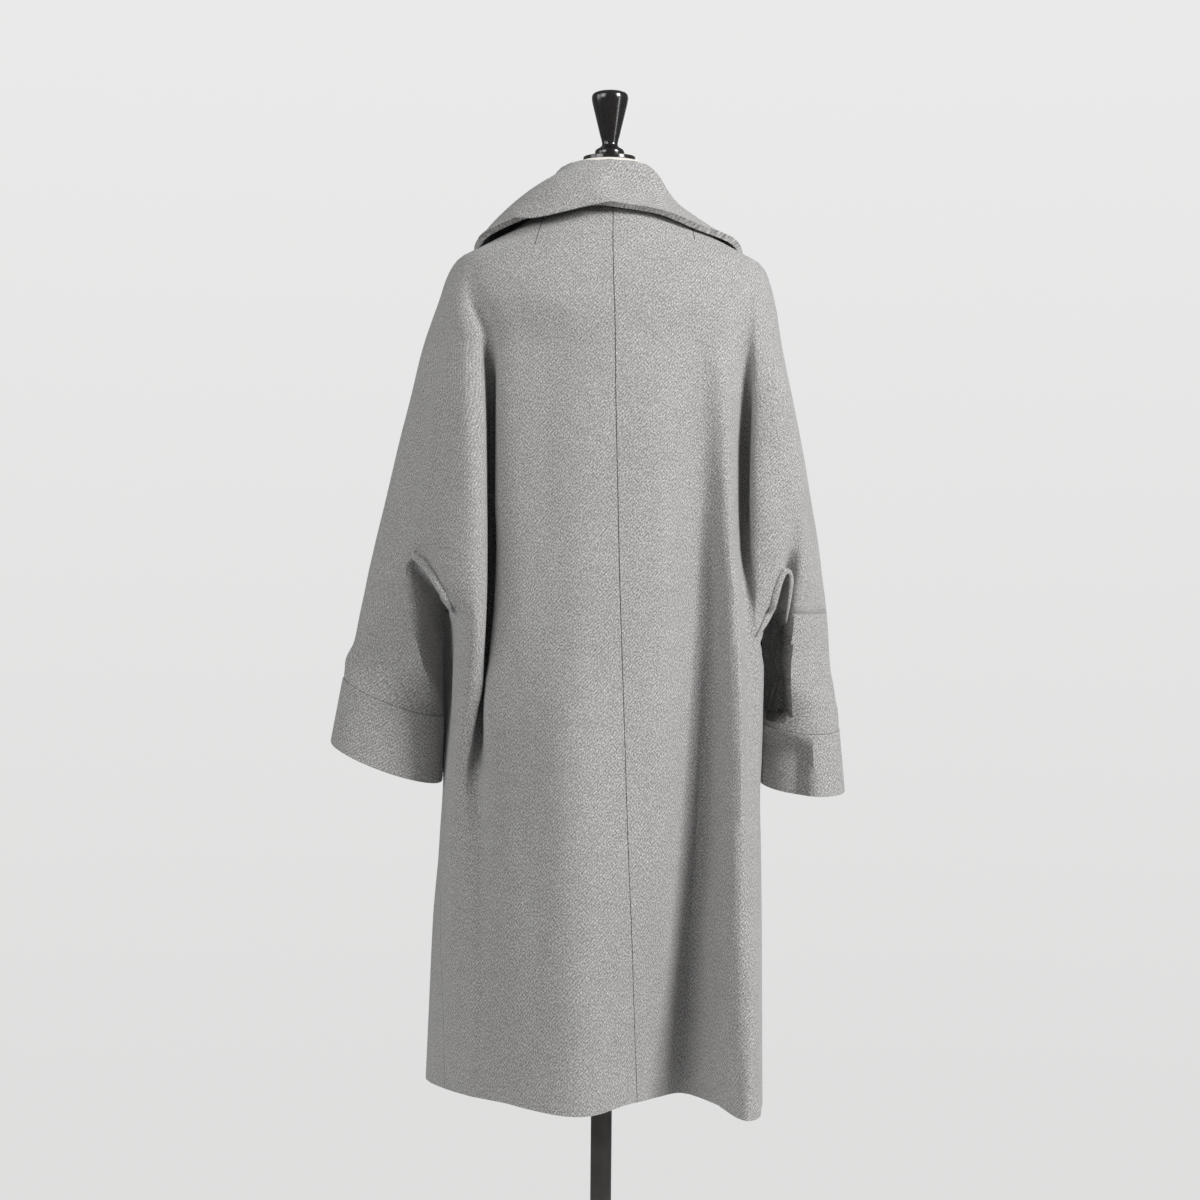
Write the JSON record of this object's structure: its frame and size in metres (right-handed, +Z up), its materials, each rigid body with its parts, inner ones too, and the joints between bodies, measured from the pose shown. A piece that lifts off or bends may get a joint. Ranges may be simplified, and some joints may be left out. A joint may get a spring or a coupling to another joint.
{
  "type": "tent coat on a dress form",
  "caption": "Loose tent coat in grey wool twill with cut-on sleeves, deep cuffs and a broad turned collar, worn by a limbless dress form on a pole and a round base.",
  "frame": {"origin": "on the floor under the middle of the pole, at the centre of the base's underside", "axes": "+Z up along the pole; +Y out of the coat's back; +X to the wearer's left"},
  "size_m": [0.6078, 0.4131, 1.581],
  "materials": {
    "grey_wool": "brushed matt twill",
    "cream_jersey": "matt fine knit",
    "black_lacquered_wood": "glossy lacquer",
    "dark_steel": "satin"
  },
  "bodies": {
    "root": {"back_left": "grey_wool", "back_right": "grey_wool", "front_left": "grey_wool", "front_right": "grey_wool", "cuff_left": "grey_wool", "cuff_right": "grey_wool", "collar": "grey_wool", "form_body": "cream_jersey", "neck_plate": "black_lacquered_wood", "finial": "black_lacquered_wood", "pole": "dark_steel", "base": "dark_steel", "pole_socket": "dark_steel"}
  },
  "joints": []
}
